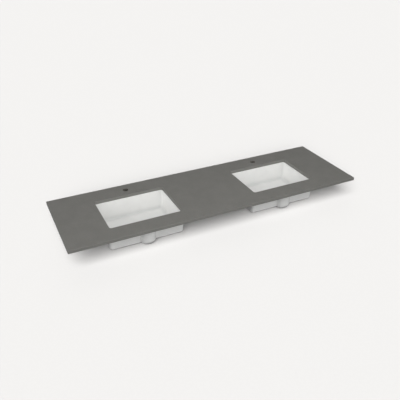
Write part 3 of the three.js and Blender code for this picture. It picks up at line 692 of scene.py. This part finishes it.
def bead_shape():
    """The bead: a flat band round the flange whose two edges are half ellipses, squeezed out by an amount
    that wanders along it as the sum of two sines of the distance round."""
    corner_steps, side_steps, edge_steps = 8, 24, 6
    angle = np.linspace(0, math.pi, edge_steps + 1)
    middle = FLANGE_TOP / 2
    half = BEAD_THICKNESS / 2
    inner = LIP_RADIUS + BEAD_BULGE
    outer = LIP_RADIUS + BEAD_WIDTH - BEAD_BULGE
    profile = [(outer, 1, a) for a in angle] + [(inner, -1, a) for a in angle[::-1]]
    rings = []
    for offset, way, a in profile:
        quarters = rounded_rectangle(
            CUTOUT_WIDTH / 2 + offset, CUTOUT_DEPTH / 2 + offset, BOWL_CORNER_RADIUS + offset, corner_steps
        ).reshape(4, -1, 2)
        parts = []
        for corner, following in zip(quarters, np.roll(quarters, -1, axis=0)):
            parts += [corner, between(corner[-1], following[0], side_steps)]
        loop = np.concatenate(parts)
        turn = np.arange(len(loop)) / len(loop) * 2 * math.pi
        long, short = (np.sin(waves * turn + k * way) for k, waves in enumerate(BEAD_WAVES, 1))
        wander = BEAD_WANDER * (long + short)
        push = way * (BEAD_BULGE + wander * (1 + way) / 2) * math.sin(a)
        away = np.roll(loop, -1, axis=0) - np.roll(loop, 1, axis=0)
        away = np.stack([away[:, 1], -away[:, 0]], axis=1) / np.linalg.norm(away, axis=1)[:, None]
        rings.append(at_level(loop + away * np.reshape(push, (-1, 1)), middle - half * math.cos(a)))
    return looped(rings)


def eased_ring(inner, outer, low, high, ease, steps):
    """A ring whose four edges are eased, turned about the stud's axis."""
    edge_steps = 3
    edge = eased_edge(low, high, ease, edge_steps)
    profile = [(outer - inset, level) for inset, level in edge]
    profile += [(inner + inset, level) for inset, level in edge[::-1]]
    return turned(profile, steps)


def stud_shape():
    """A threaded stud: r = R - depth x ridge(z / pitch - turn), where ridge runs 0 to 1 and back once a
    pitch, with a flat at crest and root, and no more than a cone allows at each chamfered end."""
    around, per_pitch = 18, 8
    low, high = WASHER_UNDER - NUT_HEIGHT - STUD_TAIL, STUD_GRIP
    level = np.linspace(low, high, int((high - low) / THREAD_PITCH * per_pitch) + 1)[:, None]
    turn = (np.arange(around) / around)[None]
    phase = (level / THREAD_PITCH - turn) % 1
    ridge = np.clip((1 + 2 * THREAD_FLAT) * np.abs(2 * phase - 1) - THREAD_FLAT, 0, 1)
    cone = STUD_RADIUS - STUD_CHAMFER + np.minimum(level - low, high - level)
    radius = np.minimum(STUD_RADIUS - THREAD_DEPTH * ridge, cone)
    angle = 2 * math.pi * turn
    rings = np.stack([radius * np.cos(angle), radius * np.sin(angle), level + 0 * turn], axis=2)
    return tube(rings)


def clip_shape():
    """The middle surface of a bent strip. Its plate is a grid between the outline and the slot, its heel a
    grid across the strip. Both are drawn flat as x and the distance s along the strip, and then bent: the
    first run stands upright, a quarter turn of the middle radius follows, and the rest lies level."""
    across, along, corner, rows, heel_rows, bend_rows = 8, 10, 4, 5, 3, 6
    half = CLIP_WIDTH / 2
    bend = CLIP_BEND_RADIUS - CLIP_GAUGE / 2
    upright = -(CLIP_UNDER + CLIP_BEND_RADIUS)
    level_start = upright + bend * math.pi / 2
    bend_y = CLIP_BEND_RADIUS - CLIP_HEEL_REACH
    toe = level_start + CLIP_STANDOFF + CLIP_TOE_REACH - bend_y
    slot = level_start - bend_y

    def line(start, end, steps):
        return np.linspace(start, end, steps + 1)[:-1]

    arc = quarter(corner)[:-1]
    x_in = half - CLIP_CORNER
    y_in = toe - CLIP_CORNER
    outline = np.concatenate(
        [
            line((-half, level_start), (half, level_start), across),
            line((half, level_start), (half, y_in), along),
            np.stack([x_in + CLIP_CORNER * np.cos(arc), y_in + CLIP_CORNER * np.sin(arc)], axis=1),
            line((x_in, toe), (-x_in, toe), across),
            np.stack([-x_in - CLIP_CORNER * np.sin(arc), y_in + CLIP_CORNER * np.cos(arc)], axis=1),
            line((-half, y_in), (-half, level_start), along),
        ]
    )
    bearing = np.arctan2(outline[:, 0], slot - outline[:, 1])
    travel, radius = CLIP_SLOT_TRAVEL / 2, STUD_RADIUS + CLEARANCE
    slot_y = slot - radius * np.cos(bearing) - travel * np.sign(np.cos(bearing))
    mouth = np.stack([radius * np.sin(bearing), slot_y], axis=1)
    share = np.linspace(0, 1, rows + 1)[:, None, None]
    plate = (outline * (1 - share) + mouth * share).reshape(-1, 2)
    faces = grid_faces(rows + 1, len(outline))
    bend_s = np.linspace(upright, level_start, bend_rows + 1)[:-1]
    heel_s = np.concatenate([np.linspace(0, upright, heel_rows + 1)[:-1], bend_s])
    grid = np.meshgrid(heel_s, np.linspace(-half, half, across + 1), indexing="ij")
    heel = np.stack(grid[::-1], axis=2).reshape(-1, 2)
    start = len(plate)
    faces += grid_faces(len(heel_s), across + 1, wrap_columns=False, start=start)
    seam = np.arange(across + 1)
    last = start + (len(heel_s) - 1) * (across + 1) + seam
    faces += [[last[k], last[k + 1], seam[k + 1], seam[k]] for k in range(across)]
    flat = np.concatenate([plate, heel])
    x, s = flat[:, 0], flat[:, 1]
    turn = np.clip((s - upright) / bend, 0, math.pi / 2)
    y = bend_y - bend * np.cos(turn) + np.maximum(s - level_start, 0)
    z = -np.minimum(s, upright) - bend * np.sin(turn)
    return np.stack([x, y, z], axis=1), faces


def wing_nut_shape():
    """A turned body, tapered and eased, joined with two ears. An ear is a rounded outline in the x-z plane
    with two eased faces, thinner towards its tip. At its root, inside the body, the easing fades out."""
    body_steps, edge_steps, tip_points, outline_steps, ear_edge_steps = 32, 3, 10, 48, 4
    low = WASHER_UNDER - NUT_HEIGHT
    bore = STUD_RADIUS + CLEARANCE
    edge = eased_edge(low, WASHER_UNDER, NUT_EASE, edge_steps)
    profile = [(NUT_RADIUS - inset, level) for inset, level in edge]
    profile = [(r - (NUT_RADIUS - NUT_TOP_RADIUS) * (WASHER_UNDER - z) / NUT_HEIGHT, z) for r, z in profile]
    profile += [(bore + inset, level) for inset, level in edge[::-1]]
    body = turned(profile, body_steps)
    tip_x = WING_REACH - WING_TIP_RADIUS
    tip_z = WASHER_UNDER - WING_DROP + WING_TIP_RADIUS
    root_x = (STUD_RADIUS + NUT_TOP_RADIUS) / 2
    arc = np.linspace(-math.pi / 2, math.pi / 4, tip_points)
    corners = np.concatenate(
        [
            [(root_x, WASHER_UNDER - WING_TIP_RADIUS / 2), (root_x, low + WING_TIP_RADIUS / 2)],
            np.column_stack([tip_x + WING_TIP_RADIUS * np.cos(arc), tip_z + WING_TIP_RADIUS * np.sin(arc)]),
        ]
    )
    outline = spaced(np.concatenate([corners, corners[:1]]), outline_steps)[:-1]
    way = np.roll(outline, -1, axis=0) - np.roll(outline, 1, axis=0)
    inward = np.stack([-way[:, 1], way[:, 0]], axis=1) / np.linalg.norm(way, axis=1)[:, None]
    inward *= np.clip(outline[:, :1] - root_x, 0, 1)
    rings = []
    for inset, level in eased_edge(-WING_THICKNESS / 2, WING_THICKNESS / 2, WING_EASE, ear_edge_steps):
        ring = outline + inward * inset
        thin = 1 - WING_TAPER * np.clip((ring[:, 0] - root_x) / (WING_REACH - root_x), 0, 1)
        rings.append(np.column_stack([ring[:, 0], level * thin, ring[:, 1]]))
    ear = tube(np.array(rings)[::-1])
    other = ear[0] * (-1, -1, 1), ear[1]
    return carved(body, joined=(ear, other))


# Materials

def linear(code):
    """An sRGB hex value as linear red, green, blue and 1."""
    value = np.array([int(code[i : i + 2], 16) for i in (1, 3, 5)]) / 255
    value = np.where(value <= 0.04045, value / 12.92, ((value + 0.055) / 1.055) ** 2.4)
    return (*value.tolist(), 1.0)


def feed(node, links):
    """Links a node's sockets to others, or sets their values."""
    for socket, value in links.items():
        if isinstance(value, bpy.types.NodeSocket):
            node.id_data.links.new(value, node.inputs[socket])
        else:
            node.inputs[socket].default_value = value


def add_node(tree, kind, links=None, stops=(), **settings):
    """Adds a node. Settings name its properties, links feed its sockets, and stops are a colour ramp's
    places with their sRGB hex values."""
    node = tree.nodes.new(kind)
    for key, value in settings.items():
        setattr(node, key, value)
    feed(node, links or {})
    if stops:
        elements = node.color_ramp.elements
        while len(elements) < len(stops):
            elements.new(0.5)
        for element, (place, code) in zip(elements, stops):
            element.position = place
            element.color = linear(code)
    return node


# A colour mix's sockets go by number, because its other kinds share their names.
MIX_SHARE, MIX_A, MIX_B = 0, 6, 7
MIXED = 2


def new_material(name):
    """A material with its shader. Returns these two, their node tree and the object's coordinates."""
    material = bpy.data.materials.new(name)
    material.use_nodes = True
    tree = material.node_tree
    tree.nodes.clear()
    shader = add_node(tree, "ShaderNodeBsdfPrincipled")
    add_node(tree, "ShaderNodeOutputMaterial", {"Surface": shader.outputs["BSDF"]})
    return material, shader, tree, add_node(tree, "ShaderNodeTexCoord").outputs["Object"]


def pattern_scale(size):
    """The scale at which a pattern's cells are this many millimetres wide."""
    return 1 / (size * MM)


def honed_quartz():
    """Honed engineered quartz: crushed grey grit in tinted resin, ground to a dull even face. The eye gets
    a close speckle of slightly lighter and darker grains and, across the slab, barely a cloud. Real grit is
    0.2 to 1.2 mm, and it is drawn at 2.2 and 0.9 mm so that it shows. The walls of drilled holes carry
    painted shade: darker and a little warmer."""
    material, shader, tree, place = new_material("honed_engineered_quartz")
    tones = []
    for size in (GRIT_SIZE, FINES_SIZE):
        cells = {"Vector": place, "Scale": pattern_scale(size), "Randomness": 1.0}
        grains = add_node(tree, "ShaderNodeTexVoronoi", cells).outputs["Color"]
        tones.append(add_node(tree, "ShaderNodeSeparateColor", {"Color": grains}).outputs["Red"])
    tone = add_node(tree, "ShaderNodeMath", {0: tones[0], 1: tones[1]}, operation="ADD").outputs["Value"]
    half = add_node(tree, "ShaderNodeMath", {0: tone, 1: 0.5}, operation="MULTIPLY").outputs["Value"]
    greys = [(0.1, "#767570"), (0.35, "#7c7b77"), (0.7, "#81807c"), (0.95, "#898882")]
    body = add_node(tree, "ShaderNodeValToRGB", {"Fac": half}, greys).outputs["Color"]
    drift = {"Vector": place, "Scale": pattern_scale(STONE_CLOUD_SIZE), "Detail": 3.0}
    cloud = add_node(tree, "ShaderNodeTexNoise", drift).outputs["Fac"]
    shades = [(0.3, "#f6f6f6"), (0.7, "#ffffff")]
    shade = add_node(tree, "ShaderNodeValToRGB", {"Fac": cloud}, shades).outputs["Color"]
    clouded = {MIX_SHARE: 1.0, MIX_A: body, MIX_B: shade}
    honed = add_node(tree, "ShaderNodeMix", clouded, data_type="RGBA", blend_type="MULTIPLY").outputs[MIXED]
    # Painted shade: this tone darkens the walls of drilled holes, where shade falls inside them.
    bore_darkening = {MIX_SHARE: 1.0, MIX_A: honed, MIX_B: linear("#d0ccc6")}
    bore_shade_tone = add_node(tree, "ShaderNodeMix", bore_darkening, data_type="RGBA", blend_type="MULTIPLY").outputs[MIXED]
    painted_bore_shade = add_node(tree, "ShaderNodeAttribute", attribute_name="painted_bore_shade").outputs["Fac"]
    walls = {MIX_SHARE: painted_bore_shade, MIX_A: honed, MIX_B: bore_shade_tone}
    skin = add_node(tree, "ShaderNodeMix", walls, data_type="RGBA").outputs[MIXED]
    polish = {"Value": half, "To Min": 0.5, "To Max": 0.6}
    dull = add_node(tree, "ShaderNodeMapRange", polish).outputs["Result"]
    pits = {"Height": half, "Strength": 0.12, "Distance": 0.05 * MM}
    bump = add_node(tree, "ShaderNodeBump", pits).outputs["Normal"]
    feed(shader, {"Base Color": skin, "Roughness": dull, "Normal": bump, "IOR": 1.5})
    return material


def glazed_china():
    """Vitreous china: slip-cast clay under a white glaze that flows to a glossy, very slightly rippled
    skin. Shade is painted into the glaze, greyer at the bowl's foot and corners. The faces that were ground
    or stood on the kiln's shelf are bare clay, which is dull and creamier."""
    material, shader, tree, place = new_material("glazed_vitreous_china")
    noises = {}
    for name, size, detail in (
        ("cloud", GLAZE_CLOUD_SIZE, 2.0), ("grog", CLAY_GROG_SIZE, 2.0), ("ripple", GLAZE_RIPPLE_SIZE, 1.0)
    ):
        grains = {"Vector": place, "Scale": pattern_scale(size), "Detail": detail}
        noises[name] = add_node(tree, "ShaderNodeTexNoise", grains).outputs["Fac"]
    # The second tint, thick, is the glaze with painted shade, for the bowl's foot and corners.
    tints = []
    for name, dark, light in (
        ("cloud", "#f1f1ef", "#f5f5f3"), ("cloud", "#dbdcda", "#dfe0de"), ("grog", "#d9d3c6", "#e2dccf")
    ):
        shades = [(0.3, dark), (0.7, light)]
        tints.append(add_node(tree, "ShaderNodeValToRGB", {"Fac": noises[name]}, shades).outputs["Color"])
    thin, thick, clay = tints
    # The painted shade mark mixes the shaded tint into the glaze.
    shade_share = add_node(tree, "ShaderNodeAttribute", attribute_name="painted_crease_shade").outputs["Fac"]
    shaded_mix = {MIX_SHARE: shade_share, MIX_A: thin, MIX_B: thick}
    glaze = add_node(tree, "ShaderNodeMix", shaded_mix, data_type="RGBA").outputs[MIXED]
    bare = add_node(tree, "ShaderNodeAttribute", attribute_name="bare_clay").outputs["Fac"]
    bared = {MIX_SHARE: bare, MIX_A: glaze, MIX_B: clay}
    body = add_node(tree, "ShaderNodeMix", bared, data_type="RGBA").outputs[MIXED]
    polish = {"Value": bare, "To Min": 0.12, "To Max": 0.75}
    dull = add_node(tree, "ShaderNodeMapRange", polish).outputs["Result"]
    waves = {"Height": noises["ripple"], "Strength": 0.2, "Distance": 0.15 * MM}
    bump = add_node(tree, "ShaderNodeBump", waves).outputs["Normal"]
    feed(shader, {"Base Color": body, "Roughness": dull, "Normal": bump, "IOR": 1.52})
    return material


def plain_metal(name, colours, rough):
    """A plated or turned metal whose skin varies a little in tone and polish. Zinc plate gives the eye a
    soft, slightly blue shine with faint clouds, and turned brass a warmer and brighter one."""
    material, shader, tree, place = new_material(name)
    grains = {"Vector": place, "Scale": pattern_scale(METAL_CLOUD_SIZE), "Detail": 4.0}
    cloud = add_node(tree, "ShaderNodeTexNoise", grains).outputs["Fac"]
    body = add_node(tree, "ShaderNodeValToRGB", {"Fac": cloud}, colours).outputs["Color"]
    polish = {"Value": cloud, "To Min": rough[0], "To Max": rough[1]}
    dull = add_node(tree, "ShaderNodeMapRange", polish).outputs["Result"]
    feed(shader, {"Base Color": body, "Roughness": dull, "Metallic": 1.0})
    return material


def silicone():
    """Neutral-cure silicone sealant: soft, milky and faintly see-through, which makes its edges glow."""
    material, shader, tree, place = new_material("silicone_sealant")
    grains = {"Vector": place, "Scale": pattern_scale(SEALANT_CLOUD_SIZE), "Detail": 2.0}
    cloud = add_node(tree, "ShaderNodeTexNoise", grains).outputs["Fac"]
    milks = [(0.3, "#d2d3cf"), (0.7, "#dddeda")]
    body = add_node(tree, "ShaderNodeValToRGB", {"Fac": cloud}, milks).outputs["Color"]
    glow = {"Subsurface Weight": 0.3, "Subsurface Radius": (3 * MM, 3 * MM, 3 * MM)}
    feed(shader, {"Base Color": body, "Roughness": 0.4, **glow})
    return material


def seamless_paper():
    """Pale backdrop paper: matt, with the faintest fibre mottling. Its own lamps bring it to off-white."""
    material, shader, tree, place = new_material("matt_backdrop_paper")
    grains = {"Vector": place, "Scale": pattern_scale(PAPER_FIBRE_SIZE), "Detail": 2.0}
    cloud = add_node(tree, "ShaderNodeTexNoise", grains).outputs["Fac"]
    fibres = [(0.3, "#a4a3a2"), (0.7, "#a5a4a3")]
    body = add_node(tree, "ShaderNodeValToRGB", {"Fac": cloud}, fibres).outputs["Color"]
    feed(shader, {"Base Color": body, "Roughness": 1.0, "Specular IOR Level": 0.0})
    return material


FINISHES = {
    "stone": honed_quartz(),
    "china": glazed_china(),
    "silicone": silicone(),
    "steel": plain_metal("bright_zinc_plated_steel", [(0.3, "#c3c7ca"), (0.7, "#d3d6d8")], (0.28, 0.42)),
    "brass": plain_metal("turned_brass", [(0.3, "#b98f3e"), (0.7, "#c9a252")], (0.25, 0.4)),
}


# Pieces

# The slab comes with its mark of painted shade on the walls of drilled holes.
slab, painted_bore_shade = slab_shape()
stone_top = make_piece("stone_top", slab, "stone", ["stone_slab"], {"painted_bore_shade": painted_bore_shade})

basin, bead, nut = basin_shape(), bead_shape(), wing_nut_shape()
marks = basin_marks(basin[0])
bore = STUD_RADIUS + CLEARANCE
insert = eased_ring(bore, INSERT_RADIUS, 0.0, INSERT_LENGTH, INSERT_EASE, steps=32)
washer = eased_ring(bore, WASHER_RADIUS, WASHER_UNDER, CLIP_UNDER, WASHER_EASE, steps=40)
stud, clip = stud_shape(), clip_shape()
for side, x in SIDES.items():
    middle = np.array([x, BASIN_CENTRE_Y, 0])
    hung, laid = (basin[0] + middle, basin[1]), (bead[0] + middle, bead[1])
    make_piece(f"{side}_china_basin", hung, "china", [f"{side}_basin"], marks)
    make_piece(f"{side}_sealant_bead", laid, "silicone", [f"{side}_silicone_bead"])
    for number, (along, across, turn) in enumerate(fixing_places(), 1):
        cos, sin = math.cos(turn), math.sin(turn)
        spun = np.array([[cos, sin, 0], [-sin, cos, 0], [0, 0, 1]])
        place = middle + (along, across, 0)
        label = f"{side}_{number}"
        for name, node, shape, slot in (
            ("insert", "threaded_insert", insert, "brass"),
            ("threaded_stud", "stud", stud, "steel"),
            ("bent_clip", "clip", clip, "steel"),
            ("plain_washer", "washer", washer, "steel"),
            ("winged_nut", "wing_nut", nut, "steel"),
        ):
            fixed = shape[0] @ spun + place, shape[1]
            make_piece(f"{name}_{label}", fixed, slot, [f"{node}_{label}"], sheet=shape is clip)

for row in frame["record"]["subparts"]:
    piece = frame["nodes"][row["node"]]
    piece.data.materials.clear()
    piece.data.materials.append(FINISHES[row["material_slot"]])


# Stage, light and camera

floor_mesh = bpy.data.meshes.new("studio_floor")
corners = FLOOR_REACH * np.array([(-1, -1), (1, -1), (1, 1), (-1, 1)])
floor_mesh.from_pydata((at_level(corners, BOSS_FACE) * MM).tolist(), [], [(0, 1, 2, 3)])
floor_mesh.materials.append(seamless_paper())
floor = new_object("studio_floor", floor_mesh)
# The floor throws no light back at the object. The floor bounce lamp stands for that.
floor.visible_diffuse = False
floor.visible_glossy = False


def lit_group(name, pieces, state):
    """A named group of pieces that a lamp lights alone, or leaves out."""
    group = bpy.data.collections.new(name)
    for piece in pieces:
        group.objects.link(piece)
    for member in group.collection_objects:
        member.light_linking.link_state = state
    return group


def hang(name, lamp, away, group, blockers=None):
    """Turns a lamp to look back along away, for one group of pieces. Where blockers are given, only they
    throw shadows in it."""
    holder = new_object(name, lamp)
    holder.rotation_euler = away.to_track_quat("Z", "Y").to_euler()
    holder.light_linking.receiver_collection = group
    holder.light_linking.blocker_collection = blockers
    return holder


def sun(name, strength, azimuth, elevation, spread, group, blockers=None):
    """A soft distant light. Azimuth 0 comes from the front and 90 from the right, in degrees."""
    lamp = bpy.data.lights.new(name, "SUN")
    lamp.energy = strength
    lamp.angle = math.radians(spread)
    a, e = math.radians(azimuth), math.radians(elevation)
    away = Vector((math.sin(a) * math.cos(e), -math.cos(a) * math.cos(e), math.sin(e)))
    hang(name, lamp, away, group, blockers)


def near_softbox(name, power, width, place, group):
    """A square softbox close by, in millimetres. Its light fades towards what is further from it."""
    lamp = bpy.data.lights.new(name, "AREA")
    lamp.energy = power
    lamp.size = width * MM
    away = Vector(place) * MM
    hang(name, lamp, away, group).location = away


floor_alone = lit_group("floor_alone", [floor], "INCLUDE")
stone_alone = lit_group("stone_alone", [stone_top], "INCLUDE")
all_but_floor = lit_group("all_but_floor", [floor], "EXCLUDE")
china_and_fittings = lit_group("china_and_fittings", [floor, stone_top], "EXCLUDE")
see_through_floor = lit_group("see_through_floor", [floor], "EXCLUDE")
# Each lamp's strength, azimuth, elevation and spread. Paper, stone, and china with its fittings have lamps
# of their own, so that the ground, the shadow and each surface's shading all come out as in the photo.
sun("floor_softbox", 10.45, -32, 40, 50, floor_alone)
sun("low_floor_softbox", 1.57, -32, 25, 40, floor_alone)
sun("back_floor_softbox", 0.41, 170, 40, 60, floor_alone)
near_softbox("stone_softbox", 23.0, 1200, (-300, -2000, 1600), stone_alone)
sun("stone_low_softbox", 1.3, 12, 20, 60, stone_alone)
sun("stone_left_softbox", 1.91, -110, 30, 100, stone_alone)
sun("stone_right_fill", 0.3, 60, 30, 120, stone_alone)
sun("front_softbox", 0.74, -34, 40, 50, china_and_fittings)
sun("low_right_softbox", 0.69, 12, 20, 60, china_and_fittings)
sun("left_softbox", 1.35, -75, 20, 40, china_and_fittings)
sun("right_softbox", 1.84, 60, 30, 120, china_and_fittings)
sun("back_fill", 0.25, 170, 35, 120, all_but_floor)
sun("floor_bounce", 0.2, 0, -90, 170, all_but_floor, see_through_floor)
# The world is the pale backdrop behind the floor's edge, and gives no light.
world = bpy.data.worlds.new("soft_studio")
world.use_nodes = True
world.node_tree.nodes["Background"].inputs["Color"].default_value = linear("#efeeec")
bpy.context.scene.world = world
world.cycles_visibility.diffuse = False
world.cycles_visibility.glossy = False

lens = bpy.data.cameras.new("photo_camera")
lens.sensor_width = CAMERA_FRAME
lens.lens = CAMERA_LENS
camera = new_object("photo_camera", lens)
pitch, yaw, roll = math.radians(CAMERA_PITCH), math.radians(CAMERA_YAW), math.radians(CAMERA_ROLL)
forward = Vector((math.sin(yaw) * math.cos(pitch), math.cos(yaw) * math.cos(pitch), -math.sin(pitch)))
level_right = Vector((math.cos(yaw), -math.sin(yaw), 0.0))
right = math.cos(roll) * level_right + math.sin(roll) * level_right.cross(forward)
axes = Matrix((right, right.cross(forward), -forward)).transposed().to_4x4()
camera.matrix_world = Matrix.Translation(Vector(CAMERA_PLACE) * MM) @ axes
bpy.context.scene.camera = camera
bpy.context.scene.view_settings.view_transform = "Standard"
